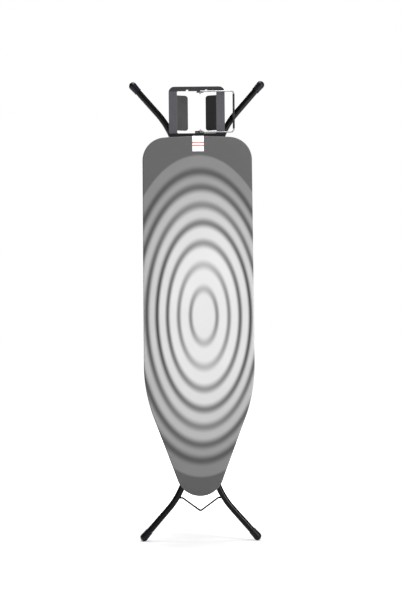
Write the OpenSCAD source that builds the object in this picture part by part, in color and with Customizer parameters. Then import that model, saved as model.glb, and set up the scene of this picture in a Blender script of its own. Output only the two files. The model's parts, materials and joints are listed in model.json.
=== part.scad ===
// Folding ironing board, folded flat and standing on its nose-end feet.
// +Z is up, +X is right and +Y runs from the ironing face back to the legs. The origin is on
// the floor at mid width and mid depth. Depths are measured back from the ironing face.

/* [Board] */
// Length of the covered ironing surface
board_length = 1246; // [1230:2:1260]
// Greatest width of the ironing surface
board_width = 384; // [380:1:396]
// Width at the square end, just below its rounded corners
end_width = 379; // [372:1:382]
// Height of the nose tip above the floor when the board stands folded
nose_height = 159; // [156:1:162]
// Radius of the nose
nose_radius = 83; // [78:1:86]
// Angle of each tapered side to the centre line
taper_angle = 20.5; // [19.5:0.5:22]
// Radius where the tapered sides meet the straight sides
shoulder_radius = 540; // [480:10:580]
// Radius of the two corners at the square end
corner_radius = 80; // [70:1:90]
// Radius of the slight crown along the square end
crown_radius = 1800; // [1400:50:2400]

/* [Legs] */
// Height of the folded board from foot tip to foot tip
folded_height = 1598; // [1592:1:1604]
// Diameter of the leg tube
tube_d = 22; // [20:1:22]
// Wall thickness of the leg tube
tube_wall = 1.2; // [1:0.1:1.6]
// Distance between the centre lines of the two outer tubes
outer_spacing = 134; // [134:1:138]
// Distance between the centre lines of the two inner tubes
inner_spacing = 84; // [80:1:84]
// Angle of the splayed feet to the straight tubes
splay = 41.3; // [40:0.1:43]
// Centre-line radius of the bend above each foot
bend_radius = 277; // [260:1:290]
// Straight length from the bend to the middle of the foot
splay_length = 130.2; // [120:0.1:135]
// Diameter of the plastic feet
foot_d = 28; // [26:1:28]

/* [Folding gear] */
// Height of the fixed leg hinge when folded
hinge_z = 298; // [296:1:300]
// Diameter of the hinge and slider rods
rod_d = 10; // [9:0.5:10]
// Diameter of the scissor pivot bolts
bolt_d = 8; // [7:0.5:8]
// Number of working heights
notch_count = 7; // [4:1:7]
// Swing of the height lever from its folded rest to its engaged place
lever_drop = 4.2; // [4:0.1:5]

/* [Iron rest] */
// Width of the iron rest plate
rest_width = 194.6; // [190:0.2:200]
// Top of the iron rest above the floor
rest_top = 1579; // [1577:1:1581]
// Height of the window in the iron rest
window_h = 146; // [140:1:150]
// Width of the window in the iron rest
window_w = 136.6; // [132:0.2:138]
// Gap between the two wings that are bent back from the window
wing_gap = 63.4; // [58:0.2:66]
// Reach of the bail to the right of the middle
bail_reach = 128; // [120:1:130]
// Diameter of the bail wire
bail_d = 5; // [4.4:0.1:5]
// Diameter of the silicone sleeve on the bail
sleeve_d = 7.2; // [6.6:0.1:7.6]

/* [Hidden] */
$fn = 64;
eps = 0.01;
depth_mid = 27;                         // depth of the plane y = 0
leg_depth = 40;                         // depth of the leg tubes
rod_depth = 20;                         // depth of the hinge and slider axes
skin = 1.2;                             // thickness of the cover
pad_back = 8.6;                         // back of the underlay
sheet_front = 8.8;                      // front of the perforated sheet
sheet_back = 9.8;
rim_back = 23;
hem_back = 24.4;
rim_inset = 1.4;                        // from the cover's edge to the rim's outside
rim_wall = 1.4;
rim_lip = 13;                           // inner edge of the rim's folded lip
hem_width = 18;
rest_front = 24.8;                      // the iron rest lies just behind the hem
rest_back = 26.4;
board_top = nose_height + board_length;
tube_r = tube_d / 2;
bore_r = tube_r - tube_wall;
foot_r = foot_d / 2;
foot_body = 23;                         // from the foot's round tip to its collar
rod_r = rod_d / 2;
bolt_r = bolt_d / 2;
outer_x = outer_spacing / 2;
inner_x = inner_spacing / 2;
pivot_z = folded_height / 2;
slider_z = 2 * pivot_z - hinge_z;
tube_tail = 12;                         // tube beyond its hinge or slider axis
lug_r = 9;
lug_t = 4;
end_cap_t = 2;                          // closed top end of each tube
bend_top = foot_r + splay_length * cos(splay) + bend_radius * sin(splay);
running = 0.05;                         // radial clearance on every turning pin
joint_swell = 0.08;                     // slight swelling where a straight stretch meets a bend

// scissor arm, its folded angle, and where the slider rod stands in the lowest notch of all
arm = norm([pivot_z - hinge_z, leg_depth - rod_depth]);
arm_angle = atan2(leg_depth - rod_depth, pivot_z - hinge_z);
open_angle = 45.5;
lowest_angle = 32;
function slider_at(a) = hinge_z + 2 * arm * cos(arm_angle + a);
first_notch = slider_at(open_angle);
notch_pitch = (slider_at(lowest_angle) - first_notch) / (notch_count - 1);

// woven label at the square end
label_x = 3;
label_w = 40;
label_z0 = board_top - 53;
label_z1 = board_top - 3;
label_t = 0.4;

// channels across the sheet, each from one height to another, and the rivets
rest_screw_z = 1358;
channel_t = 1.2;
channel_flange = sheet_back + channel_t;
channel_back = 19.8;
end_channel_half = 108;
nose_channel_z = [338, 364];
middle_channel_z = [818, 848];
end_channel_z = [rest_screw_z - 16, rest_screw_z + 16];
bracket_t = 2;
rivet_r = 2;
rivet_head_r = 4;

// bars between the legs, scissor bolts and nuts
bar_r = 8;
outer_bar_z = 1343;
upper_bar_z = 693;
lower_bar_z = 403;
bolt_head_t = 4.5;
nut_t = 6.5;

// guide rails and glides
rail_in = 86;
rail_out = 98.5;
rail_foot = 112;
rail_t = 1.5;
rail_z0 = first_notch - 24;
rail_z1 = slider_z + 20;
rail_mid_z = (rail_z0 + rail_z1) / 2;
rail_base = 11.5;
rail_top = 30;
glide_gap = 0.3;

// height lever
lever_z = 883;
lever_depth = 17;
lever_rod_r = 4;
lever_end = 168;
lever_bracket_x = [-20, 114];
lever_tip = slider_at(lowest_angle) + 24;
spring_wire = 1.2;
spring_turns = 9;

// transport lock
lock_z = 150;
lock_drop = 44;
catch_z = 190;
lock_half = 65;
lock_bend = 8;
lock_r = 3.2;

// iron rest
rest_screw_x = [-88, -30, 30, 88];
rest_corner = 20;
window_top = rest_top - 16;
window_bottom = window_top - window_h;
wing_top = window_top - 14;
wing_bottom = window_bottom + 10;
wing_depth = 46;
bail_x = 12;
bail_depth = 21.5;
bail_r = bail_d / 2;
bail_top = window_top - 1;
bail_bottom = window_bottom + 3;
bail_corner = 9;
lug_top_z = window_top - 6;
lug_bottom_z = window_bottom + 6.4;

nose_centre = [0, nose_height + nose_radius];
shoulder_centre = [board_width / 2 - shoulder_radius, nose_centre[1]
    + (cos(taper_angle) * (board_width / 2 - shoulder_radius) + shoulder_radius - nose_radius)
    / sin(taper_angle)];
crown_angle = asin((end_width / 2 - corner_radius) / (crown_radius - corner_radius));
crown_centre = [0, board_top - crown_radius];
corner_centre = crown_centre + (crown_radius - corner_radius) * [sin(crown_angle), cos(crown_angle)];

function on_circle(c, r, a) = c + r * [cos(a), sin(a)];

// n steps along an arc; with skip = 1 its first point is left out
function arc(c, r, a0, a1, n, skip = 0) = [for (i = [skip:n]) on_circle(c, r, a0 + (a1 - a0) * i / n)];

// right half of the board's outline, from the nose tip to the middle of the square end
function half_outline(inset) = concat(
    arc(nose_centre, nose_radius - inset, -90, -taper_angle, 14),
    arc(shoulder_centre, shoulder_radius - inset, -taper_angle, 0, 8),
    arc(corner_centre, corner_radius - inset, 0, 90 - crown_angle, 14),
    arc(crown_centre, crown_radius - inset, 90 - crown_angle, 90, 4, 1));

function outline(inset) = let (half = half_outline(inset), n = len(half))
    concat(half, [for (i = [n - 2:-1:1]) [-half[i][0], half[i][1]]]);

left = -1;
right = 1;
gloss_black = [0.07, 0.07, 0.08];
graphite = [0.28, 0.28, 0.30];
zinc = [0.72, 0.73, 0.74];
plastic_black = [0.12, 0.12, 0.12];

// ---- building blocks; each takes depths and places them along Y ----

// a front-view shape between two depths
module slab(d0, d1) {
    translate([0, d1 - depth_mid, 0]) rotate([90, 0, 0]) linear_extrude(d1 - d0) children();
}

module block(x0, x1, d0, d1, z0, z1) {
    translate([x0, d0 - depth_mid, z0]) cube([x1 - x0, d1 - d0, z1 - z0]);
}

module pin_x(x0, x1, d, z, r) {
    translate([x0, d - depth_mid, z]) rotate([0, 90, 0]) cylinder(h = x1 - x0, r = r);
}

module pin_y(x, d0, d1, z, r, tip = -1) {
    translate([x, d0 - depth_mid, z]) rotate([-90, 0, 0])
        cylinder(h = d1 - d0, r1 = r, r2 = tip < 0 ? r : tip);
}

module pin_z(x, d, z0, z1, r) {
    translate([x, d - depth_mid, z0]) cylinder(h = z1 - z0, r = r);
}

module ball(x, d, z, r) {
    translate([x, d - depth_mid, z]) sphere(r);
}

// a side-view shape, drawn as [depth, height], between two places across the board
module side_slab(x0, x1) {
    translate([x0, -depth_mid, 0]) rotate([90, 0, 90]) linear_extrude(x1 - x0) children();
}

// round wire between two points in the plane at one depth
module wire(a, b, d, r) {
    translate([a[0], d - depth_mid, a[1]])
        rotate([0, atan2(b[0] - a[0], b[1] - a[1]), 0])
            cylinder(h = norm(b - a), r = r);
}

// bent stretch of round wire about a centre, in the plane at one depth
module wire_bend(centre, radius, a0, a1, d, r) {
    translate([centre[0], d - depth_mid, centre[1]]) rotate([90, 0, 0]) rotate([0, 0, a0])
        rotate_extrude(angle = a1 - a0) translate([radius, 0]) circle(r);
}

module both_sides() {
    children();
    mirror([1, 0, 0]) children();
}

// ---- board ----

module board_ring(outer_inset, inner_inset, d0, d1) {
    slab(d0, d1) difference() {
        polygon(outline(outer_inset));
        polygon(outline(inner_inset));
    }
}

module board_rim() {
    color(graphite) {
        board_ring(rim_inset, rim_inset + rim_wall, sheet_back, rim_back);
        board_ring(rim_inset + rim_wall - eps, rim_lip, rim_back - 1.2, rim_back);
    }
}

module board_mesh() {
    color(graphite) difference() {
        slab(sheet_front, sheet_back) polygon(outline(rim_inset));
        rivet_holes();
    }
}

module underlay_pad() {
    color([0.85, 0.84, 0.8]) slab(skin, pad_back) polygon(outline(1.6));
}

module label_block() {
    block(label_x - label_w / 2, label_x + label_w / 2, 0, label_t, label_z0, label_z1);
}

module cover() {
    color([0.62, 0.62, 0.62]) difference() {
        union() {
            slab(0, skin) polygon(outline(0));
            board_ring(0, skin, skin - eps, hem_back);
            board_ring(skin - eps, hem_width, hem_back - 1.2, hem_back);
        }
        label_block();
    }
}

module cover_label() {
    color("white") label_block();
}

// hat-section stiffener across the sheet, cut to the inside of the rim
module channel(zs, back, half_width, flange) {
    color(graphite) difference() {
        intersection() {
            union() {
                block(-half_width, half_width, sheet_back, back, zs[0], zs[1]);
                block(-half_width, half_width, sheet_back, channel_flange, zs[0] - flange, zs[1] + flange);
            }
            slab(0, back + 1) polygon(outline(rim_inset + rim_wall + 0.2));
        }
        block(-half_width - 1, half_width + 1, sheet_back - 1, back - channel_t,
            zs[0] + channel_t, zs[1] - channel_t);
        rivet_holes();
    }
}

module nose_channel() { channel(nose_channel_z, channel_back, board_width / 2, 12); }

module middle_channel() { channel(middle_channel_z, channel_back, board_width / 2, 12); }

module end_channel() {
    difference() {
        channel(end_channel_z, rest_front, end_channel_half, 10);
        rest_screw_holes();
    }
}

// ---- rivets, each [x, height, depth of the flange they hold] ----

function rivet_pairs(xs, zs, d) = [for (x = xs) for (z = zs) for (side = [left, right]) [side * x, z, d]];
all_rivets = concat(
    rivet_pairs([100], [nose_channel_z[0] - 6], channel_flange),
    rivet_pairs([75], [nose_channel_z[1] + 6], channel_flange),
    rivet_pairs([60, 150], [middle_channel_z[0] - 6, middle_channel_z[1] + 6], channel_flange),
    rivet_pairs([60, 95], [end_channel_z[0] - 5, end_channel_z[1] + 5], channel_flange),
    rivet_pairs([(rail_out + rail_foot) / 2], [rail_z0 + 25, rail_mid_z, rail_z1 - 25], rail_base),
    rivet_pairs([30], [hinge_z - 16, hinge_z + 16], sheet_back + bracket_t),
    [for (x = lever_bracket_x) for (z = [-14, 14]) [x + 8, lever_z + z, sheet_back + bracket_t]]);

module rivet_holes() {
    for (p = all_rivets) pin_y(p[0], sheet_front - 1, p[2] + 1, p[1], rivet_r);
}

module rivets() {
    color(zinc) for (p = all_rivets) {
        pin_y(p[0], sheet_front, p[2] + 0.6, p[1], rivet_r);
        pin_y(p[0], p[2], p[2] + 0.6, p[1], rivet_head_r);
        pin_y(p[0], p[2] + 0.6, p[2] + 1.5, p[1], rivet_head_r, 2.2);
    }
}

// ---- hinge bracket, guide rails and glides ----

module hinge_bracket() {
    color(graphite) difference() {
        union() {
            block(-58, 58, sheet_back, sheet_back + bracket_t, hinge_z - 24, hinge_z + 24);
            both_sides() {
                block(50, 54, sheet_back, rod_depth, hinge_z - 14, hinge_z + 14);
                pin_x(50, 54, rod_depth, hinge_z, lug_r);
            }
        }
        pin_x(-60, 60, rod_depth, hinge_z, rod_r + running);
        rivet_holes();
    }
}

module guide_rail(side) {
    color(graphite) difference() {
        scale_x(side) union() {
            block(rail_in, rail_foot, sheet_back, rail_base, rail_z0, rail_z1);
            block(rail_out - rail_t, rail_out, sheet_back, rail_top, rail_z0, rail_z1);
            block(rail_in, rail_out, rail_top - rail_t, rail_top, rail_z0, rail_z1);
            for (z = [rail_z0, rail_z1 - rail_t])
                block(rail_in, rail_out, sheet_back, rail_top, z, z + rail_t);
        }
        rivet_holes();
    }
}

// mirrors a right-hand piece to the left
module scale_x(side) {
    if (side < 0) mirror([1, 0, 0]) children();
    else children();
}

module glide(side) {
    color([0.85, 0.85, 0.83]) scale_x(side) difference() {
        block(rail_in + 0.5, rail_out - rail_t - glide_gap, rail_base + glide_gap,
            rail_top - rail_t - glide_gap, slider_z - 12, slider_z + 12);
        pin_x(rail_in - 1, rail_out, rod_depth, slider_z, rod_r + running);
    }
}

// ---- legs: the foot is at the bottom and the tube runs up to z_end ----

module tube_sweep(x, r, z_end) {
    bend_end = bend_radius * [1 - cos(splay), 0, -sin(splay)];
    translate([x, leg_depth - depth_mid, bend_top]) {
        cylinder(h = z_end - bend_top, r = r);
        translate([bend_radius, 0, 0]) rotate([90, 0, 0]) rotate([0, 0, 180])
            rotate_extrude(angle = splay) translate([bend_radius, 0]) circle(r);
        translate(bend_end) rotate([0, 180 - splay, 0]) cylinder(h = splay_length, r = r);
        for (joint = [[0, 0, 0], bend_end]) translate(joint) sphere(r + joint_swell);
    }
}

// hollow leg with a closed top end
module leg_tube(x) {
    difference() {
        tube_sweep(x, tube_r, slider_z + tube_tail);
        tube_sweep(x, bore_r, slider_z + tube_tail - end_cap_t);
    }
}

// flat plate welded to the front of a tube, which carries it on its rod
module leg_lug(x) {
    difference() {
        union() {
            block(x - lug_t / 2, x + lug_t / 2, rod_depth, leg_depth,
                slider_z - lug_r, slider_z + lug_r);
            pin_x(x - lug_t / 2, x + lug_t / 2, rod_depth, slider_z, lug_r);
        }
        pin_x(x - lug_t, x + lug_t, rod_depth, slider_z, rod_r);
        pin_z(x, leg_depth, slider_z - 2 * lug_r, slider_z + 2 * lug_r, tube_r);
    }
}

// the outer legs are the inner ones turned end for end about the scissor pivot
module end_for_end() {
    translate([0, 0, 2 * pivot_z]) mirror([0, 0, 1]) children();
}

module outer_leg(side) {
    color(gloss_black) scale_x(side) difference() {
        end_for_end() leg_tube(outer_x);
        pin_x(outer_x - 2 * tube_r, outer_x + 2 * tube_r, leg_depth, pivot_z, bolt_r);
    }
}

module inner_leg(side) {
    color(gloss_black) scale_x(side) difference() {
        leg_tube(inner_x);
        pin_x(inner_x - 2 * tube_r, inner_x + 2 * tube_r, leg_depth, pivot_z, bolt_r + running);
        pin_x(lock_half - 4, lock_half + 16, leg_depth, lock_z, lock_r + 2 * running);
    }
}

module outer_leg_lugs() { color(gloss_black) both_sides() end_for_end() leg_lug(outer_x); }

module inner_leg_lugs() { color(gloss_black) both_sides() leg_lug(inner_x); }

module foot(x) {
    foot_x = x + bend_radius * (1 - cos(splay)) + splay_length * sin(splay);
    translate([foot_x, leg_depth - depth_mid, foot_r]) rotate([0, -splay, 0]) difference() {
        union() {
            intersection() {
                sphere(foot_r);
                translate([0, 0, -foot_r]) cube(2 * foot_r, center = true);
            }
            cylinder(h = foot_body, r1 = foot_r, r2 = tube_r + 1.6);
            translate([0, 0, foot_body]) cylinder(h = 5, r = tube_r + 2);
        }
        cylinder(h = 60, r = tube_r);
    }
}

module outer_foot(side) { color(plastic_black) scale_x(side) end_for_end() foot(outer_x); }

module inner_foot(side) { color(plastic_black) scale_x(side) foot(inner_x); }

module outer_cross_bar() {
    color(gloss_black) difference() {
        pin_x(-outer_x - 2, outer_x + 2, leg_depth, outer_bar_z, bar_r);
        both_sides() end_for_end() tube_sweep(outer_x, tube_r, slider_z);
    }
}

module inner_cross_bar(z) {
    color(gloss_black) difference() {
        pin_x(-inner_x, inner_x, leg_depth, z, bar_r);
        both_sides() pin_z(inner_x, leg_depth, z - 20, z + 20, tube_r);
    }
}

module hinge_rod() {
    color(zinc) {
        pin_x(-outer_x - 6, outer_x + 6, rod_depth, hinge_z, rod_r);
        both_sides() pin_x(outer_x + 2, outer_x + 5, rod_depth, hinge_z, rod_r + 2.5);
    }
}

module slider_rod() {
    color(zinc) pin_x(-rail_out + rail_t + 1, rail_out - rail_t - 1, rod_depth, slider_z, rod_r);
}

module pivot_bolts() {
    color(zinc) both_sides() {
        pin_x(inner_x - tube_r - 1, outer_x + tube_r + 4, leg_depth, pivot_z, bolt_r);
        pin_x(inner_x - tube_r - bolt_head_t, inner_x - tube_r, leg_depth, pivot_z, 7);
    }
}

module pivot_nuts() {
    color(zinc) both_sides() difference() {
        union() {
            pin_x(outer_x + tube_r, outer_x + tube_r + nut_t, leg_depth, pivot_z, 6.5);
            translate([outer_x + tube_r, leg_depth - depth_mid, pivot_z]) rotate([0, 90, 0])
                cylinder(h = 5, r = 7.5, $fn = 6);
        }
        pin_x(outer_x, outer_x + tube_r + 4, leg_depth, pivot_z, bolt_r);
    }
}

module pivot_washers() {
    gap = outer_x - inner_x - 2 * tube_r;
    color([0.8, 0.8, 0.78]) both_sides() difference() {
        pin_x(inner_x + tube_r + 0.2, inner_x + tube_r + gap, leg_depth, pivot_z, 9);
        pin_x(inner_x, outer_x, leg_depth, pivot_z, bolt_r);
    }
}

// ---- height lever, drawn engaged and then swung back to its folded rest ----

module lever_rest() {
    translate([0, lever_depth - depth_mid, lever_z]) rotate([-lever_drop, 0, 0])
        translate([0, depth_mid - lever_depth, -lever_z]) children();
}

module height_lever() {
    color(zinc) lever_rest() {
        pin_x(-26, lever_end, lever_depth, lever_z, lever_rod_r);
        difference() {
            side_slab(-2, 2) polygon([[11, lever_z - 8], [24, lever_z - 8], [34, lever_z + 40],
                [34, lever_tip - 8], [28, lever_tip], [20, lever_tip], [20, lever_z + 60],
                [11, lever_z + 8]]);
            for (i = [0:notch_count - 1])
                pin_x(-3, 3, rod_depth, first_notch + i * notch_pitch, rod_r + 0.3);
        }
        grip_arm();
    }
}

// flat arm from the lever's rod down into its grip
module grip_arm() {
    side_slab(lever_end - 36, lever_end - 33) polygon([[12, lever_z + 6], [22, lever_z + 6],
        [38, lever_z - 46], [34, lever_z - 50], [12, lever_z - 10]]);
}

module lever_grip() {
    x0 = lever_end - 50;
    x1 = lever_end - 16;
    color(plastic_black) lever_rest() difference() {
        hull() for (x = [x0 + 6, x1 - 6]) for (z = [lever_z - 64, lever_z - 36])
            pin_y(x, 31, 42, z, 6, $fn = 32);
        grip_arm();
    }
}

module lever_brackets() {
    color(graphite) difference() {
        for (x = lever_bracket_x) {
            block(x, x + 16, sheet_back, sheet_back + bracket_t, lever_z - 20, lever_z + 20);
            block(x, x + 3, sheet_back, lever_depth, lever_z - 8, lever_z + 8);
            pin_x(x, x + 3, lever_depth, lever_z, 7);
        }
        pin_x(-40, 140, lever_depth, lever_z, lever_rod_r + running);
        rivet_holes();
    }
}

module lever_spring() {
    coil_r = lever_rod_r + 1.5;
    pitch = 0.92 * spring_wire;
    start_x = 6;
    color(zinc) {
        for (i = [0:spring_turns - 1])
            translate([start_x + i * pitch, lever_depth - depth_mid, lever_z]) rotate([0, 90, 0])
                rotate_extrude() translate([coil_r, 0]) circle(spring_wire / 2);
        pin_z(start_x + (spring_turns - 1) * pitch, lever_depth - coil_r, lever_z, lever_z + 26,
            spring_wire / 2);
    }
}

// ---- transport lock ----

module transport_lock_wire() {
    elbow = [lock_half, lock_z - lock_bend];
    apex = [0, lock_z - lock_drop + lock_bend];
    between = elbow - apex;
    slope = atan2(between[1], between[0]) + asin(2 * lock_bend / norm(between));
    offset = lock_bend * [sin(slope), -cos(slope)];
    color(gloss_black) {
        both_sides() {
            pin_x(lock_half, lock_half + 15, leg_depth, lock_z, lock_r);
            wire_bend(elbow, lock_bend, 90, 90 + slope, leg_depth, lock_r);
            wire(apex + offset, elbow - offset, leg_depth, lock_r);
            for (joint = [[lock_half, lock_z], apex + offset, elbow - offset])
                ball(joint[0], leg_depth, joint[1], lock_r + joint_swell);
        }
        wire_bend(apex, lock_bend, -90 - slope, -90 + slope, leg_depth, lock_r);
    }
}

module transport_catch() {
    color(plastic_black) {
        block(-10, 10, sheet_back, leg_depth + 0.6, catch_z, catch_z + 14);
        side_slab(-10, 10) polygon([[leg_depth, catch_z + 8.5], [leg_depth + 7, catch_z + 9.5],
            [leg_depth + 7, catch_z + 11], [leg_depth, catch_z + 14]]);
        block(-14, 14, sheet_back, sheet_back + 3, catch_z, catch_z + 22);
    }
}

// ---- iron rest ----

module rounded_rect(x0, x1, z0, z1, r) {
    for (x = [x0 + r, x1 - r]) for (z = [z0 + r, z1 - r]) translate([x, z]) circle(r);
    translate([x0 + r, z0]) square([x1 - x0 - 2 * r, z1 - z0]);
    translate([x0, z0 + r]) square([x1 - x0, z1 - z0 - 2 * r]);
}

module rest_screw_holes() {
    for (x = rest_screw_x) pin_y(x, 15, rest_back + 1, rest_screw_z, 2);
}

// one wing, from the side of the window inwards and back
module wing() {
    edge = window_w / 2;
    reach = edge - wing_gap / 2;
    intersection() {
        translate([0, -depth_mid, wing_bottom]) linear_extrude(wing_top - wing_bottom)
            polygon([[edge + 1, rest_front], [edge + 1, rest_back], [edge - 2, rest_back],
                [edge - reach, wing_depth], [edge - reach - 0.8, wing_depth - 1.5], [edge, rest_front]]);
        slab(rest_front - 1, wing_depth + 1)
            rounded_rect(edge - reach - 1, edge + 30, wing_bottom, wing_top, 10);
    }
}

module iron_rest_plate() {
    edge = window_w / 2;
    color(graphite) difference() {
        union() {
            slab(rest_front, rest_back) difference() {
                rounded_rect(-rest_width / 2, rest_width / 2, rest_screw_z - 14, rest_top, rest_corner);
                difference() {
                    rounded_rect(-edge, edge, window_bottom, window_top, 4);
                    translate([0, window_top - 6]) square([24, 10]);
                    translate([-7, window_bottom - 2]) square([31, 10]);
                }
                for (x = [-33, 33]) translate([x - 4, window_top - 1]) square([8, 6]);
            }
            both_sides() wing();
            block(4, 20, 17.5, rest_back, lug_top_z, lug_top_z + 1.6);
            block(4, 20, 17.5, rest_back, lug_bottom_z, lug_bottom_z + 1.6);
        }
        pin_z(bail_x, bail_depth, window_bottom, window_top, bail_r + 2 * running);
        rest_screw_holes();
    }
}

module iron_rest_screws() {
    color(zinc) for (x = rest_screw_x) difference() {
        union() {
            pin_y(x, 18, rest_back + 0.5, rest_screw_z, 2);
            pin_y(x, rest_back, rest_back + 1, rest_screw_z, 4.5);
            pin_y(x, rest_back + 1, rest_back + 2.4, rest_screw_z, 4.5, 3);
        }
        block(x - 3, x + 3, rest_back + 1.6, rest_back + 3, rest_screw_z - 0.5, rest_screw_z + 0.5);
        block(x - 0.5, x + 0.5, rest_back + 1.6, rest_back + 3, rest_screw_z - 3, rest_screw_z + 3);
    }
}

module bail_wire() {
    corner_x = bail_reach - bail_corner;
    color(zinc) {
        for (end = [[bail_top, -1, 0], [bail_bottom, 1, -90]]) {
            z = end[0];
            inward = end[1];
            pin_x(bail_x, corner_x, bail_depth, z, bail_r);
            ball(bail_x, bail_depth, z, bail_r);
            pin_z(bail_x, bail_depth, min(z, z + 10 * inward), max(z, z + 10 * inward), bail_r);
            wire_bend([corner_x, z + bail_corner * inward], bail_corner, end[2], end[2] + 90,
                bail_depth, bail_r);
        }
        pin_z(bail_reach, bail_depth, bail_bottom + bail_corner, bail_top - bail_corner, bail_r);
    }
}

module bail_sleeve() {
    color(plastic_black) difference() {
        pin_z(bail_reach, bail_depth, bail_bottom + bail_corner + 3, bail_top - bail_corner - 1,
            sleeve_d / 2);
        pin_z(bail_reach, bail_depth, bail_bottom, bail_top, bail_r);
    }
}

board_rim();
board_mesh();
underlay_pad();
cover();
cover_label();
nose_channel();
middle_channel();
end_channel();
hinge_bracket();
guide_rail(left);  // guide_rail_left
guide_rail(right);  // guide_rail_right
lever_brackets();
lever_spring();
transport_catch();
rivets();
iron_rest_plate();
iron_rest_screws();
outer_leg(left);  // outer_leg_left
outer_leg(right);  // outer_leg_right
outer_leg_lugs();
outer_cross_bar();
hinge_rod();
pivot_bolts();
pivot_nuts();
pivot_washers();
outer_foot(left);  // outer_foot_left
outer_foot(right);  // outer_foot_right
inner_leg(left);  // inner_leg_left
inner_leg(right);  // inner_leg_right
inner_leg_lugs();
inner_cross_bar(upper_bar_z);  // inner_cross_bar_upper
inner_cross_bar(lower_bar_z);  // inner_cross_bar_lower
slider_rod();
inner_foot(left);  // inner_foot_left
inner_foot(right);  // inner_foot_right
glide(left);  // glide_left
glide(right);  // glide_right
height_lever();
lever_grip();
transport_lock_wire();
bail_wire();
bail_sleeve();
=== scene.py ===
"""Looks of the folding ironing board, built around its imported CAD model.

Places are in metres in the model's frame: +Z from the nose to the square end, +Y from the
ironing face to the legs. A depth is measured back from the ironing face.
"""
import json
import math

import bmesh
import bpy
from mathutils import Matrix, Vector, noise


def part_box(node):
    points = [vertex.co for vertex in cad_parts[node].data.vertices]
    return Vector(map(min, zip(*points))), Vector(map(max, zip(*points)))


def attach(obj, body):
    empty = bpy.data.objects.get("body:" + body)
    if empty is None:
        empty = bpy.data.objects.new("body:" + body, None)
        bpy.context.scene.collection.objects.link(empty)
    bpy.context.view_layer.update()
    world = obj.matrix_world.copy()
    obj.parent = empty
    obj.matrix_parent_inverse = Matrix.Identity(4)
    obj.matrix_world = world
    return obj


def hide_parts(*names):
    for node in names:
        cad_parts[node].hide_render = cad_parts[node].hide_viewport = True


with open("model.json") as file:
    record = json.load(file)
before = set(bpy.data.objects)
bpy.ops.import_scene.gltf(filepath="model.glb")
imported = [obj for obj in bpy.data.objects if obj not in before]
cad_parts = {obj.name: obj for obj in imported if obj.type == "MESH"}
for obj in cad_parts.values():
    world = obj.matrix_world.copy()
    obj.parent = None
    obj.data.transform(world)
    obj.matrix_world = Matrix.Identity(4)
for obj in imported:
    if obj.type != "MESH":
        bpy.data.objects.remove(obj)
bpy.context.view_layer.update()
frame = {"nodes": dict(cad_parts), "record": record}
MM = 0.001

# ---- the board, from its cover node ----

COVER_LOW, COVER_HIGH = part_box("cover")
FACE_Y = COVER_LOW.y
HEM_Y = COVER_HIGH.y
HALF_WIDTH = COVER_HIGH.x
NOSE_Z = COVER_LOW.z
TOP_Z = COVER_HIGH.z
NOSE_RADIUS = 83 * MM
TAPER = math.radians(20.5)
SHOULDER_RADIUS = 540 * MM
CORNER_RADIUS = 80 * MM
CROWN_RADIUS = 1800 * MM
END_HALF_WIDTH = HALF_WIDTH - 2.5 * MM


# ---- outline of the board: points with their outward normals, round from the nose ----

def arc_points(centre, radius, start, end, count):
    """Points along an arc with their normals, the last one left out."""
    found = []
    for i in range(count):
        a = start + (end - start) * i / count
        normal = Vector((math.cos(a), math.sin(a)))
        found.append((Vector(centre) + radius * normal, normal))
    return found


def straight_points(a, b, step):
    """Points between two (point, normal) pairs, both ends left out."""
    count = max(2, round((b[0] - a[0]).length / step))
    return [(a[0].lerp(b[0], i / count), a[1].lerp(b[1], i / count).normalized()) for i in range(1, count)]


def half_outline(step):
    """Right half of the outline, from the nose tip to the middle of the square end."""
    nose = Vector((0, NOSE_Z + NOSE_RADIUS))
    shoulder_x = HALF_WIDTH - SHOULDER_RADIUS
    shoulder_z = nose.y + (math.cos(TAPER) * shoulder_x + SHOULDER_RADIUS - NOSE_RADIUS) / math.sin(TAPER)
    corner_x = END_HALF_WIDTH - CORNER_RADIUS
    crown = math.asin(corner_x / (CROWN_RADIUS - CORNER_RADIUS))
    crown_centre = Vector((0, TOP_Z - CROWN_RADIUS))
    corner = crown_centre + (CROWN_RADIUS - CORNER_RADIUS) * Vector((math.sin(crown), math.cos(crown)))
    quarter = math.pi / 2
    arcs = [
        (nose, NOSE_RADIUS, -quarter, -TAPER),
        ((shoulder_x, shoulder_z), SHOULDER_RADIUS, -TAPER, 0),
        (corner, CORNER_RADIUS, 0, quarter - crown),
        (crown_centre, CROWN_RADIUS, quarter - crown, quarter),
    ]
    points = []
    for centre, radius, start, end in arcs:
        stretch = arc_points(centre, radius, start, end, max(4, round(radius * (end - start) / step)))
        if points and (stretch[0][0] - points[-1][0]).length > 1.5 * step:
            points += straight_points(points[-1], stretch[0], step)
        points += stretch
    points.append((Vector((0, TOP_Z)), Vector((0, 1))))
    return points


def outline(step):
    """The whole outline, round from the nose tip by the right-hand side."""
    half = half_outline(step)
    left = [(Vector((-p.x, p.y)), Vector((-n.x, n.y))) for p, n in reversed(half[1:-1])]
    return half + left


SPINE_LOW = NOSE_Z + NOSE_RADIUS
SPINE_HIGH = TOP_Z - CORNER_RADIUS


def inset_point(point, normal, inset):
    return point - normal * inset


def toward_spine(point, share):
    """A point on the way from the board's long middle line (0) to the outline (1)."""
    spine = Vector((0, min(max(point.y, SPINE_LOW), SPINE_HIGH)))
    return spine.lerp(point, share)


# ---- mesh helpers ----

def new_object(name, verts, faces, smooth=True):
    mesh = bpy.data.meshes.new(name)
    mesh.from_pydata([tuple(v) for v in verts], [], faces)
    mesh.validate()
    mesh.polygons.foreach_set("use_smooth", [smooth] * len(mesh.polygons))
    obj = bpy.data.objects.new(name, mesh)
    bpy.context.scene.collection.objects.link(obj)
    return obj


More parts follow.
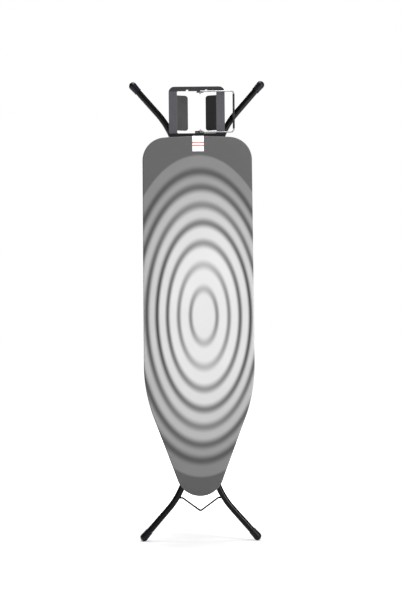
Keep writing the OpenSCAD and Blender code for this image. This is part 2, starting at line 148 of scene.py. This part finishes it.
def clean(obj, distance):
    """Welds doubled vertices and turns the faces outwards."""
    bm = bmesh.new()
    bm.from_mesh(obj.data)
    bmesh.ops.remove_doubles(bm, verts=bm.verts, dist=distance)
    bmesh.ops.dissolve_degenerate(bm, edges=bm.edges, dist=distance)
    bmesh.ops.recalc_face_normals(bm, faces=bm.faces)
    bm.to_mesh(obj.data)
    bm.free()
    return obj


def loft(name, rings):
    """Quads between successive closed rings of points, open at both ends."""
    count = len(rings[0])
    verts = [p for ring in rings for p in ring]
    faces = []
    for k in range(len(rings) - 1):
        for i in range(count):
            j = (i + 1) % count
            faces.append((k * count + i, k * count + j, (k + 1) * count + j, (k + 1) * count + i))
    return new_object(name, verts, faces)


def apply_modifiers(obj):
    """Leaves the evaluated mesh as the object's own, with no modifiers on it."""
    graph = bpy.context.evaluated_depsgraph_get()
    mesh = bpy.data.meshes.new_from_object(obj.evaluated_get(graph))
    obj.modifiers.clear()
    obj.data = mesh
    return obj


def thicken(obj, thickness, offset=-1):
    solid = obj.modifiers.new("thickness", "SOLIDIFY")
    solid.thickness = thickness
    solid.offset = offset
    return apply_modifiers(obj)


def wobble(x, y, z, scale):
    """Smooth repeatable noise from -1 to 1."""
    return noise.noise(Vector((x / scale, y / scale, z / scale)))


# ---- materials ----

class Look:
    """A node material with short calls for the nodes that the looks below share."""

    def __init__(self, name, colour, roughness, metallic=0.0, specular=0.5):
        self.material = bpy.data.materials.new(name)
        self.material.use_nodes = True
        self.tree = self.material.node_tree
        self.shader = self.tree.nodes["Principled BSDF"]
        self.shader.inputs["Base Color"].default_value = (*colour, 1)
        self.shader.inputs["Roughness"].default_value = roughness
        self.shader.inputs["Metallic"].default_value = metallic
        self.shader.inputs["Specular IOR Level"].default_value = specular
        self.material.diffuse_color = (*colour, 1)
        self.place = self.add("ShaderNodeTexCoord").outputs["Object"]

    def add(self, kind, **values):
        node = self.tree.nodes.new(kind)
        for key, value in values.items():
            setattr(node, key, value)
        return node

    def link(self, source, target):
        self.tree.links.new(source, target)

    def math(self, operation, a, b=None):
        node = self.add("ShaderNodeMath", operation=operation)
        for socket, value in zip(node.inputs, (a, b)):
            if value is None:
                continue
            if isinstance(value, (int, float)):
                socket.default_value = value
            else:
                self.link(value, socket)
        return node.outputs[0]

    def stretch(self, value, low, high, out_low, out_high):
        node = self.add("ShaderNodeMapRange")
        self.link(value, node.inputs["Value"])
        for key, number in (("From Min", low), ("From Max", high), ("To Min", out_low), ("To Max", out_high)):
            node.inputs[key].default_value = number
        return node.outputs["Result"]

    def noise(self, scale, detail=3, roughness=0.5):
        node = self.add("ShaderNodeTexNoise")
        node.inputs["Scale"].default_value = scale
        node.inputs["Detail"].default_value = detail
        node.inputs["Roughness"].default_value = roughness
        self.link(self.place, node.inputs["Vector"])
        return node.outputs["Fac"]

    def cloud(self, scale, detail, low, high):
        """Noise whose middle is spread over a range."""
        return self.stretch(self.noise(scale, detail), 0.3, 0.7, low, high)

    def xyz(self):
        split = self.add("ShaderNodeSeparateXYZ")
        self.link(self.place, split.inputs[0])
        return split.outputs[0], split.outputs[1], split.outputs[2]

    def ramp(self, value, stops, interpolation="LINEAR"):
        node = self.add("ShaderNodeValToRGB")
        node.color_ramp.interpolation = interpolation
        elements = node.color_ramp.elements
        while len(elements) < len(stops):
            elements.new(0.5)
        for element, (position, colour) in zip(elements, stops):
            element.position = position
            element.color = (*colour, 1) if hasattr(colour, "__len__") else (colour, colour, colour, 1)
        self.link(value, node.inputs["Fac"])
        return node.outputs["Color"]

    def mix(self, factor, a, b, blend="MIX"):
        node = self.add("ShaderNodeMix", data_type="RGBA", blend_type=blend)
        for key, value in ((0, factor), (6, a), (7, b)):
            socket = node.inputs[key]
            if isinstance(value, (int, float)):
                socket.default_value = value if key == 0 else (value, value, value, 1)
            elif hasattr(value, "__len__"):
                socket.default_value = (*value, 1)
            else:
                self.link(value, socket)
        return node.outputs[2]

    def colour(self, source):
        self.link(source, self.shader.inputs["Base Color"])

    def rough(self, source):
        self.link(source, self.shader.inputs["Roughness"])

    def bump(self, height, distance, strength=1.0):
        node = self.add("ShaderNodeBump")
        node.inputs["Distance"].default_value = distance
        node.inputs["Strength"].default_value = strength
        self.link(height, node.inputs["Height"])
        earlier = self.shader.inputs["Normal"].links
        if earlier:
            self.link(earlier[0].from_socket, node.inputs["Normal"])
        self.link(node.outputs["Normal"], self.shader.inputs["Normal"])

    def weave(self, pitch, depth_of_thread):
        """Plain weave: two sets of threads that pass over and under each other."""
        x, _, z = self.xyz()
        warp = self.math("SINE", self.math("MULTIPLY", x, math.tau / pitch))
        weft = self.math("SINE", self.math("MULTIPLY", z, math.tau / pitch))
        self.bump(self.math("MULTIPLY", warp, weft), depth_of_thread)


def srgb(value):
    """Linear value of a display grey from 0 to 255."""
    c = value / 255
    return c / 12.92 if c <= 0.04045 else ((c + 0.055) / 1.055) ** 2.4


PAINT_GRAIN = 0.05 * MM


def shades(colour, amount):
    """A darker and a lighter shade of a colour."""
    return [c * (1 - amount) for c in colour], [min(1, c * (1 + amount)) for c in colour]


def powder_coat(name, colour, roughness, specular):
    """Baked powder paint: fine orange peel, and slightly uneven gloss and tone."""
    look = Look(name, colour, roughness, specular=specular)
    look.bump(look.noise(900, 2), PAINT_GRAIN, 0.35)
    look.rough(look.cloud(14, 3, roughness - 0.05, roughness + 0.06))
    look.colour(look.mix(look.cloud(6, 4, 0, 1), *shades(colour, 0.12)))
    return look.material


def moulded_plastic(name, colour, roughness, specular=0.4):
    """Spark-eroded mould grain with faint flow marks."""
    look = Look(name, colour, roughness, specular=specular)
    look.bump(look.noise(1600, 3, 0.6), 0.04 * MM, 0.5)
    look.rough(look.cloud(30, 2, roughness - 0.06, roughness + 0.08))
    look.colour(look.mix(look.noise(40, 3), *shades(colour, 0.2)))
    return look.material


def zinc_plate(name, colour, roughness):
    """Bright zinc: drawing lines, small clouds and a little dullness."""
    look = Look(name, colour, roughness, metallic=1.0)
    look.bump(look.noise(700, 4, 0.7), 0.02 * MM, 0.5)
    look.rough(look.cloud(60, 4, roughness - 0.08, roughness + 0.12))
    look.colour(look.mix(look.noise(25, 4), [c * 0.82 for c in colour], colour))
    return look.material


def felt_material():
    """Needled grey felt with flecks of other fibres."""
    look = Look("felt", (0.42, 0.42, 0.41), 0.95, specular=0.1)
    look.shader.inputs["Sheen Weight"].default_value = 0.25
    flecks = look.ramp(look.noise(900, 4, 0.7), [(0.42, 0.24), (0.55, 0.42), (0.66, 0.62)])
    look.colour(look.mix(0.7, (0.44, 0.43, 0.41), flecks))
    look.bump(look.noise(500, 5, 0.75), 0.5 * MM, 0.8)
    return look.material


def binding_material():
    """Grey cotton bias tape."""
    look = Look("bias_tape", (0.16, 0.16, 0.165), 0.9, specular=0.15)
    look.shader.inputs["Sheen Weight"].default_value = 0.1
    look.colour(look.mix(look.noise(300, 3), (0.13, 0.13, 0.135), (0.20, 0.20, 0.205)))
    look.weave(0.9 * MM, 0.06 * MM)
    return look.material


GRAPHITE_COLOUR = (0.055, 0.055, 0.062)
# painted shade: the plate's top band, wings and bottom band get these darker colours to stand for the shade
# on them
REST_TOP_PAINTED_SHADE = (0.020, 0.020, 0.023)
REST_WING_PAINTED_SHADE = (0.008, 0.008, 0.009)
REST_FOOT_PAINTED_SHADE = (0.004, 0.004, 0.0045)
# the rest plate's window: its bottom, its top and half its width
REST_WINDOW = (1.417, 1.563, 68.3 * MM)
WING_GAP = 6 * MM
PAINT_BLEND = 1.5 * MM


def rest_paint_with_painted_shade():
    """The iron rest's graphite powder coat, with painted shade: the top and bottom bands and the wings are
    painted darker to stand for the shade there.
    """
    window_low, window_high, window_half = REST_WINDOW
    look = Look("rest_powder_coat", GRAPHITE_COLOUR, 0.5, specular=0.3)
    x, _, up = look.xyz()
    across = look.math("ABSOLUTE", x)
    # painted shade: the band below the window is painted near black to stand for the shade there
    below = look.stretch(up, window_low - PAINT_BLEND, window_low + PAINT_BLEND, 1, 0)
    colour = look.mix(below, GRAPHITE_COLOUR, REST_FOOT_PAINTED_SHADE)
    # painted shade: the band above the window is painted darker to stand for the shade there
    above = look.stretch(up, window_high - PAINT_BLEND, window_high + PAINT_BLEND, 0, 1)
    colour = look.mix(above, colour, REST_TOP_PAINTED_SHADE)
    # painted shade: the wings inside the window are painted near black to stand for the shade on them
    inside = look.math("MULTIPLY", look.stretch(across, window_half - PAINT_BLEND, window_half, 1, 0),
                       look.math("MULTIPLY", look.math("GREATER_THAN", up, window_low + WING_GAP),
                                 look.math("LESS_THAN", up, window_high - WING_GAP)))
    colour = look.mix(inside, colour, REST_WING_PAINTED_SHADE)
    look.colour(look.mix(1.0, colour, look.cloud(6, 4, 0.9, 1.1), "MULTIPLY"))
    look.bump(look.noise(900, 2), PAINT_GRAIN, 0.35)
    look.rough(look.cloud(14, 3, 0.45, 0.56))
    return look.material


# the printed ovals: half height in metres, then the greys of the line at its top and at its
# sides, and of the band inside it
RINGS = [
    (0.094, 178, 132, 222), (0.177, 178, 126, 222), (0.2526, 146, 92, 221), (0.3225, 124, 66, 214),
    (0.3836, 134, 80, 198), (0.4445, 108, 72, 180), (0.499, 92, 66, 151),
]
EDGE, TOP_LINE, SIDE_LINE, BAND = range(4)
# the ovals' middle, then how far they sit to the right and how much taller than wide they are,
# each from the inner ovals to the outer ones
PRINT_MIDDLE_Z = 0.782
PRINT_SHIFT = (17.6 * MM, 4.6 * MM)
PRINT_SLIM = (2.05, 1.93)
PRINT_REACH = 0.60
PRINT_EDGE = 0.556
PRINT_EDGE_BLEND = 3.6 * MM
LAST_BAND = 130
GROUND_TONE = 94
LINE_HALF = 25 * MM
BAND_BLEND = 9 * MM


def cover_print(look, gain):
    """Concentric upright ovals that darken outwards, with soft lines between the bands."""
    x, _, z = look.xyz()
    up = look.math("SUBTRACT", z, PRINT_MIDDLE_Z)

    def oval(shift, slim):
        side = look.math("MULTIPLY", look.math("SUBTRACT", x, shift), slim)
        square = look.math("ADD", look.math("MULTIPLY", side, side), look.math("MULTIPLY", up, up))
        return look.math("SQRT", square), side

    rough_size, _ = oval(sum(PRINT_SHIFT) / 2, sum(PRINT_SLIM) / 2)
    shift = look.stretch(rough_size, RINGS[3][EDGE], PRINT_EDGE, *PRINT_SHIFT)
    slim = look.stretch(rough_size, RINGS[0][EDGE], PRINT_EDGE, *PRINT_SLIM)
    size, side = oval(shift, slim)
    share = look.math("DIVIDE", size, PRINT_REACH)

    tones = [srgb(ring[BAND]) * gain for ring in RINGS] + [srgb(LAST_BAND) * gain]
    edges = [ring[EDGE] for ring in RINGS]
    bands = [(0, tones[0])]
    for edge, inner, outer in zip(edges, tones, tones[1:]):
        bands += [((edge - BAND_BLEND) / PRINT_REACH, inner), ((edge + BAND_BLEND) / PRINT_REACH, outer)]
    bands += [((PRINT_EDGE - PRINT_EDGE_BLEND) / PRINT_REACH, tones[-1]),
              ((PRINT_EDGE + PRINT_EDGE_BLEND) / PRINT_REACH, srgb(GROUND_TONE) * gain)]
    band_tone = look.ramp(share, bands)

    def lines(which):
        stops = [(0, 0)]
        for ring in RINGS:
            drop = 1 - srgb(ring[which]) / srgb(ring[BAND])
            stops += [((ring[EDGE] + aside) / PRINT_REACH, level)
                      for aside, level in ((-LINE_HALF, 0), (0, drop), (LINE_HALF, 0))]
        return look.ramp(share, stops, "EASE")

    at_side = look.math("DIVIDE", side, look.math("MAXIMUM", size, 0.01))
    drop = look.mix(look.math("MULTIPLY", at_side, at_side), lines(TOP_LINE), lines(SIDE_LINE))
    kept = look.math("SUBTRACT", 1, drop)
    return look.mix(1.0, band_tone, kept, "MULTIPLY")


FABRIC_GAIN = 0.70


def cover_material():
    look = Look("cover_cotton", (0.5, 0.5, 0.5), 0.85, specular=0.2)
    look.shader.inputs["Sheen Weight"].default_value = 0.12
    cloud = look.stretch(look.noise(9, 4), 0.25, 0.75, 0.97, 1.03)
    printed = cover_print(look, FABRIC_GAIN)
    look.colour(look.mix(1.0, printed, cloud, "MULTIPLY"))
    look.weave(1.1 * MM, 0.05 * MM)
    look.bump(look.noise(60, 4), 0.25 * MM, 0.35)
    return look.material


def label_material(low, high):
    """White woven tape with two muted woven stripes."""
    look = Look("label_weave", (0.8, 0.8, 0.8), 0.8, specular=0.2)
    _, _, up = look.xyz()
    share = look.stretch(up, low.z, high.z, 0, 1)
    white, stripe = (0.80, 0.80, 0.81), (0.52, 0.12, 0.09)
    stops = [(0, white), (0.36, stripe), (0.44, white), (0.56, stripe), (0.64, white)]
    look.colour(look.ramp(share, stops, "CONSTANT"))
    look.weave(0.8 * MM, 0.06 * MM)
    return look.material


BLACK_TUBE = powder_coat("black_powder_coat", (0.0012, 0.0012, 0.0015), 0.24, 0.16)
GRAPHITE = powder_coat("graphite_powder_coat", GRAPHITE_COLOUR, 0.48, 0.35)
ZINC = zinc_plate("zinc_plate", (0.72, 0.73, 0.74), 0.30)
BLACK_PLASTIC = moulded_plastic("black_plastic", (0.0012, 0.0018, 0.0035), 0.36, 0.2)
GLIDE_PLASTIC = moulded_plastic("glide_plastic", (0.70, 0.70, 0.67), 0.5)
SILICONE = moulded_plastic("silicone", (0.010, 0.010, 0.011), 0.6, 0.3)
FELT = felt_material()
BINDING = binding_material()
REST_PAINT_WITH_SHADE = rest_paint_with_painted_shade()
BAIL_PLATE = zinc_plate("satin_nickel", (0.30, 0.30, 0.31), 0.42)

SLOT_LOOKS = {
    "graphite_paint": GRAPHITE, "black_paint": BLACK_TUBE, "zinc_wire": ZINC,
    "black_plastic": BLACK_PLASTIC, "glide_plastic": GLIDE_PLASTIC, "silicone": SILICONE,
}
NODE_LOOKS = {"iron_rest_plate": REST_PAINT_WITH_SHADE, "bail_wire": BAIL_PLATE}


def paint_cad_nodes():
    """Gives each carried-over node the look listed for it, or else the look of its slot, where one is listed.
    """
    for part in frame["record"]["subparts"]:
        look = NODE_LOOKS.get(part["node"]) or SLOT_LOOKS.get(part["material_slot"])
        if look:
            mesh = frame["nodes"][part["node"]].data
            mesh.materials.clear()
            mesh.materials.append(look)


def dress(obj, material, body, slot, *nodes):
    obj.data.materials.clear()
    obj.data.materials.append(material)
    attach(obj, body)
    if nodes:
        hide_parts(*nodes)
    return obj


# ---- cover ----

HEM_WIDTH = 18 * MM
CLOTH_STEP = 2.7 * MM
FRONT_SHARES = [0, 0.2, 0.4, 0.6, 0.76, 0.88]
FACE_INSET = 24 * MM
EDGE_ROUND = 5 * MM
BACK_ROUND = 3 * MM
HEM_DEPTH = HEM_Y - FACE_Y
CLOTH_THICKNESS = 0.8 * MM
REST_LOW, REST_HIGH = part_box("iron_rest_plate")

# how the elastic gathers the hem: stitches along it, and cloth to spare between them
STITCH_SPACING = 13 * MM
GATHER = 0.10
GATHER_FRAMES = 16
GATHER_SETTINGS = {
    "quality": 6, "mass": 0.2, "tension_stiffness": 20, "compression_stiffness": 20,
    "shear_stiffness": 8, "bending_stiffness": 0.05, "air_damping": 4,
}
# the small waves that it starts from
PUCKER_HEIGHT = 1.2 * MM
PUCKER_START = 2 * MM
PUCKER_PITCH = 2.3 * MM
HEM_INSETS = (5, 7.2, 9.4, 11.6, 13.8, 16)
# room kept round the iron rest plate, where the hem lies flat
REST_ROOM_X, REST_ROOM_Z = 6 * MM, 8 * MM
NEAREST_RIM = HEM_DEPTH - 0.9 * MM
FURTHEST_BACK = HEM_DEPTH + 2.6 * MM
UNDER_REST = HEM_DEPTH + 0.15 * MM


def to_face(point, back):
    return Vector((point.x, FACE_Y + back, point.y))


def edge_profile():
    """(inset, depth) of each ring from the flat face, over the edge and up to the back."""
    path = [(FACE_INSET, 0.0), (14 * MM, 0.0), (9 * MM, 0.15 * MM)]
    for i in range(5):
        a = math.pi / 2 * i / 4
        path.append((EDGE_ROUND * (1 - math.sin(a)), EDGE_ROUND * (1 - math.cos(a))))
    return path + [(0.0, 9 * MM), (0.0, 14 * MM), (0.0, 18 * MM)]


def hem_profile():
    """(inset, depth) of each ring that is free to gather: round the back edge to the elastic."""
    path = []
    for i in range(4):
        a = math.pi / 2 * i / 3
        path.append((BACK_ROUND * (1 - math.cos(a)), HEM_DEPTH - BACK_ROUND * (1 - math.sin(a))))
    return path + [(inset * MM, HEM_DEPTH) for inset in HEM_INSETS] + [(HEM_WIDTH, HEM_DEPTH)]


def under_rest(x, z):
    return REST_LOW.x - REST_ROOM_X < x < REST_HIGH.x + REST_ROOM_X and z > REST_LOW.z - REST_ROOM_Z


def pucker(point, inset):
    """How far the hem stands off before it gathers, growing towards the elastic."""
    over = min(max((inset - PUCKER_START) / (HEM_WIDTH - PUCKER_START), 0), 1)
    phase = (point.y + 0.7 * point.x) / PUCKER_PITCH + 2.2 * wobble(point.x, 0, point.y, 0.05)
    ripple = 0.5 + 0.5 * math.sin(phase)
    uneven = 0.75 + 0.5 * wobble(point.x, 3, point.y, 0.09)
    return PUCKER_HEIGHT * over * (0.3 + 0.7 * ripple) * uneven


def on_the_back(co):
    """A place of the gathered hem, kept off the rim in front and off what lies behind."""
    furthest = UNDER_REST if under_rest(co.x, co.z) else FURTHEST_BACK
    back = min(max(co.y - FACE_Y, NEAREST_RIM), furthest)
    return Vector((co.x, FACE_Y + back, co.z))


def gather(rings):
    """Cloth simulation of the hem: it is drawn in at the stitches and buckles between them."""
    strip = loft("hem_strip", rings)
    count = len(rings[0])
    last = (len(rings) - 1) * count
    every = round(STITCH_SPACING / CLOTH_STEP)
    held = strip.vertex_groups.new(name="held")
    held.add(list(range(2 * count)), 1.0, "REPLACE")
    held.add([last + i for i in range(0, count, every)], 1.0, "REPLACE")
    held.add([k * count + i for k in range(len(rings)) for i in range(count)
              if under_rest(rings[k][i].x, rings[k][i].z)], 1.0, "REPLACE")
    # weight 1 has no cloth to spare, weight 0 has all of it
    spare = strip.vertex_groups.new(name="spare")
    spare.add(list(range(count)), 1.0, "REPLACE")
    for k in range(1, len(rings)):
        spare.add(list(range(k * count, (k + 1) * count)), 1 - (k - 1) / (len(rings) - 2), "REPLACE")
    cloth = strip.modifiers.new("cloth", "CLOTH")
    cloth.point_cache.frame_end = GATHER_FRAMES
    settings = cloth.settings
    settings.vertex_group_mass = held.name
    settings.vertex_group_shrink = spare.name
    settings.shrink_min = -GATHER
    for key, value in GATHER_SETTINGS.items():
        setattr(settings, key, value)
    settings.effector_weights.gravity = 0
    scene = bpy.context.scene
    for moment in range(1, GATHER_FRAMES + 1):
        scene.frame_set(moment)
    gathered = apply_modifiers(strip)
    places = [on_the_back(v.co) for v in gathered.data.vertices]
    bpy.data.objects.remove(gathered)
    scene.frame_set(1)
    return rings[:2] + [places[k * count:(k + 1) * count] for k in range(2, len(rings))]


def make_cover():
    """The stretched cover, and the last ring of its hem, where the elastic runs."""
    points = outline(CLOTH_STEP)
    rings = []
    for share in FRONT_SHARES:
        ring = [toward_spine(inset_point(p, n, FACE_INSET), share) for p, n in points]
        rings.append([to_face(q, 0) for q in ring])
    for inset, back in edge_profile():
        rings.append([to_face(inset_point(p, n, inset), back) for p, n in points])
    hem = []
    for inset, back in hem_profile():
        ring = [inset_point(p, n, inset) for p, n in points]
        hem.append([to_face(q, back + (0 if under_rest(q.x, q.y) else pucker(q, inset))) for q in ring])
    hem = gather(hem)
    return clean(loft("cover_cloth", rings + hem), 0.01 * MM), hem[-1]


BINDING_RADIUS, BINDING_SIDES = 1.15 * MM, 7
BINDING_SINK = Vector((0, 0.4 * MM, 0))


def make_hem_binding(ring):
    """Soft bound edge with the elastic inside it, round the whole hem."""
    count = len(ring)
    loops = []
    for s in range(BINDING_SIDES):
        a = math.tau * s / BINDING_SIDES
        loop = []
        for i, place in enumerate(ring):
            along = (ring[(i + 1) % count] - ring[i - 1]).normalized()
            across = along.cross(Vector((0, 1, 0))).normalized()
            off = across * math.cos(a) + across.cross(along) * math.sin(a)
            loop.append(place + off * BINDING_RADIUS - BINDING_SINK)
        loops.append(loop)
    return clean(loft("hem_binding", loops + loops[:1]), 0.001 * MM)


# ---- underlay, perforated sheet, label ----

UNDERLAY_INSET = 6 * MM
UNDERLAY_SHARES = (0, 0.35, 0.7, 0.9)
UNDERLAY_ROUND = 0.6 * MM


def make_underlay():
    low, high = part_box("underlay_pad")
    points = outline(12 * MM)

    def flat_rings(shares, y):
        return [[(q.x, y, q.y) for q in (toward_spine(inset_point(p, n, UNDERLAY_INSET), share)
                                         for p, n in points)] for share in shares]

    edge = ((6, low.y), (2.2, low.y + UNDERLAY_ROUND), (1.8, (low.y + high.y) / 2),
            (2.2, high.y - UNDERLAY_ROUND), (6, high.y))
    rings = flat_rings(UNDERLAY_SHARES, low.y)
    for inset, y in edge:
        rings.append([(q.x, y, q.y) for q in (inset_point(p, n, inset * MM) for p, n in points)])
    rings += flat_rings(reversed(UNDERLAY_SHARES), high.y)
    return clean(loft("underlay_felt", rings), 0.01 * MM)


CELL_X = 13 * MM
CELL_Z = 26 * MM
STRAND = 0.30
SHEET_THICKNESS = 0.7 * MM
LATTICE_DEPTH = 0.25 * MM
LATTICE_MARGIN = 13 * MM
# the plain border: its outer and inner inset, in millimetres, and its thickness
BORDER_OUT, BORDER_IN = 1.6, 22
BORDER_THICKNESS = 0.1 * MM


def inside_board(x, z, points, margin):
    """Whether a place is further than a margin inside the outline."""
    return all((Vector((x, z)) - p).dot(n) < -margin for p, n in points)


def make_perforated_sheet():
    """Expanded metal: a diamond lattice with a plain border under the rim."""
    _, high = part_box("board_mesh")
    edge = outline(40 * MM)
    verts, faces, index = [], [], {}

    def vertex(x, z):
        key = (round(x / MM * 50), round(z / MM * 50))
        if key not in index:
            index[key] = len(verts)
            verts.append((x, high.y - LATTICE_DEPTH, z))
        return index[key]

    rows = int((TOP_Z - NOSE_Z) / (CELL_Z / 2)) + 1
    columns = int(HALF_WIDTH / CELL_X) + 1
    for j in range(rows):
        z = NOSE_Z + j * CELL_Z / 2
        for i in range(-columns, columns + 1):
            x = (i + 0.5 * (j % 2)) * CELL_X
            if not inside_board(x, z, edge, LATTICE_MARGIN):
                continue
            corners = [(x + CELL_X / 2, z), (x, z + CELL_Z / 2), (x - CELL_X / 2, z), (x, z - CELL_Z / 2)]
            hole = [(x + (cx - x) * (1 - STRAND), z + (cz - z) * (1 - STRAND)) for cx, cz in corners]
            outer = [vertex(*c) for c in corners]
            inner = [vertex(*c) for c in hole]
            for k in range(4):
                m = (k + 1) % 4
                faces.append((outer[k], outer[m], inner[m], inner[k]))
    lattice = new_object("perforated_sheet", verts, faces, smooth=False)
    thicken(lattice, SHEET_THICKNESS, 0)
    border_points = outline(12 * MM)
    front = high.y - BORDER_THICKNESS
    section = ((BORDER_OUT, front), (BORDER_OUT, high.y), (BORDER_IN, high.y), (BORDER_IN, front))
    rings = [[(q.x, y, q.y) for q in (inset_point(p, n, inset * MM) for p, n in border_points)]
             for inset, y in section]
    border = loft("sheet_border", rings + rings[:1])
    clean(border, 0.001 * MM)
    border.data.polygons.foreach_set("use_smooth", [False] * len(border.data.polygons))
    return lattice, border


LABEL_LIFT = 0.35 * MM
LABEL_THICKNESS = 0.4 * MM
LABEL_ROWS, LABEL_COLUMNS = 8, 12


def make_label():
    """Woven tape sewn on at the square end: flat on the face and turned over the edge."""
    low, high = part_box("cover_label")
    width = high.x - low.x
    bend, turn_z = EDGE_ROUND + LABEL_LIFT, TOP_Z - EDGE_ROUND
    path = [(low.z, -LABEL_LIFT)]
    path += [(low.z + (turn_z - low.z) * i / LABEL_ROWS, -LABEL_LIFT) for i in range(1, LABEL_ROWS + 1)]
    for i in range(1, 6):
        a = math.pi / 2 * i / 5
        path.append((turn_z + bend * math.sin(a), EDGE_ROUND - bend * math.cos(a)))
    path += [(TOP_Z + LABEL_LIFT, back) for back in (9 * MM, 13 * MM)]
    verts = [(low.x + width * i / LABEL_COLUMNS, FACE_Y + back, z)
             for z, back in path for i in range(LABEL_COLUMNS + 1)]
    faces = []
    for r in range(len(path) - 1):
        for i in range(LABEL_COLUMNS):
            a = r * (LABEL_COLUMNS + 1) + i
            faces.append((a, a + 1, a + LABEL_COLUMNS + 2, a + LABEL_COLUMNS + 1))
    label = new_object("woven_label", verts, faces)
    return thicken(label, LABEL_THICKNESS, 0)


# ---- stage, light and camera ----

VIEW_DISTANCE = 6.0
VIEW_CENTRE = Vector((6.7 * MM, FACE_Y, 0.836))
VIEW_HEIGHT = 2.078
VIEW_ROLL = math.radians(0.55)
SENSOR = 36.0


def make_camera():
    data = bpy.data.cameras.new("camera")
    data.sensor_width = SENSOR
    data.lens = SENSOR * VIEW_DISTANCE / VIEW_HEIGHT
    camera = bpy.data.objects.new("camera", data)
    camera.location = VIEW_CENTRE - Vector((0, VIEW_DISTANCE, 0))
    camera.rotation_euler = (math.pi / 2, VIEW_ROLL, 0)
    camera.rotation_mode = "XYZ"
    bpy.context.scene.collection.objects.link(camera)
    bpy.context.scene.camera = camera


BOARD_MIDDLE = (0, 0, 0.85)
# name, place, target, size and power in watts
LIGHTS = [
    ("key", (3.2, -3.2, 1.7), BOARD_MIDDLE, (1.1, 2.6), 165),
    ("top", (0.6, -1.6, 4.2), BOARD_MIDDLE, (2.4, 1.6), 50),
    ("overhead", (0, 0.2, 4.0), (0, 0.2, 0), (1.5, 1.5), 105),
    ("fill", (-3.0, -4.6, 1.4), BOARD_MIDDLE, (2.0, 2.0), 14),
    ("back", (-2.2, 4.6, 2.6), BOARD_MIDDLE, (3.0, 2.4), 190),
]
AMBIENT = 0.14
FLOOR_SIZE = 30
# the floor's own glow: low round the board, so that shadows show, and white further off
GLOW_NEAR, GLOW_FAR = 0.10, 1.0
GLOW_START, GLOW_END = 0.4, 1.0


def make_area_light(name, place, target, size, power):
    data = bpy.data.lights.new(name, "AREA")
    data.shape = "RECTANGLE"
    data.size, data.size_y = size
    data.energy = power
    light = bpy.data.objects.new(name, data)
    light.location = place
    light.rotation_mode = "QUATERNION"
    light.rotation_quaternion = (Vector(target) - Vector(place)).to_track_quat("-Z", "Y")
    bpy.context.scene.collection.objects.link(light)


def make_stage():
    corners = [(x * FLOOR_SIZE, y * FLOOR_SIZE, 0) for x, y in ((-1, -1), (1, -1), (1, 1), (-1, 1))]
    floor = new_object("floor", corners, [(0, 1, 2, 3)])
    look = Look("floor_white", (0.8, 0.8, 0.8), 0.9, specular=0.0)
    look.shader.inputs["Emission Strength"].default_value = 1.0
    distance = look.add("ShaderNodeVectorMath", operation="LENGTH")
    look.link(look.place, distance.inputs[0])
    far = look.stretch(distance.outputs["Value"], GLOW_START, GLOW_END, 0, 1)
    look.link(look.mix(far, GLOW_NEAR, GLOW_FAR), look.shader.inputs["Emission Color"])
    floor.data.materials.append(look.material)
    world = bpy.data.worlds.new("studio")
    bpy.context.scene.world = world
    world.use_nodes = True
    tree = world.node_tree
    tree.nodes.clear()
    seen = tree.nodes.new("ShaderNodeLightPath").outputs["Is Camera Ray"]
    ambient, backdrop = tree.nodes.new("ShaderNodeBackground"), tree.nodes.new("ShaderNodeBackground")
    ambient.inputs["Strength"].default_value = AMBIENT
    backdrop.inputs["Color"].default_value = (1, 1, 1, 1)
    backdrop.inputs["Strength"].default_value = 1.0
    mix = tree.nodes.new("ShaderNodeMixShader")
    out = tree.nodes.new("ShaderNodeOutputWorld")
    tree.links.new(seen, mix.inputs[0])
    tree.links.new(ambient.outputs[0], mix.inputs[1])
    tree.links.new(backdrop.outputs[0], mix.inputs[2])
    tree.links.new(mix.outputs[0], out.inputs["Surface"])
    for light in LIGHTS:
        make_area_light(*light)
    bpy.context.scene.view_settings.view_transform = "Standard"


make_camera()
make_stage()
paint_cad_nodes()

cover, hem_edge = make_cover()
dress(cover, cover_material(), "root", "cover_fabric", "cover")
thicken(cover, CLOTH_THICKNESS)
binding = dress(make_hem_binding(hem_edge), BINDING, "root", "cover_fabric")
underlay = dress(make_underlay(), FELT, "root", "pad_fabric", "underlay_pad")
sheet, sheet_border = make_perforated_sheet()
dress(sheet, GRAPHITE, "root", "graphite_paint", "board_mesh")
dress(sheet_border, GRAPHITE, "root", "graphite_paint")
label_low, label_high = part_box("cover_label")
dress(make_label(), label_material(label_low, label_high), "root", "label_fabric", "cover_label")
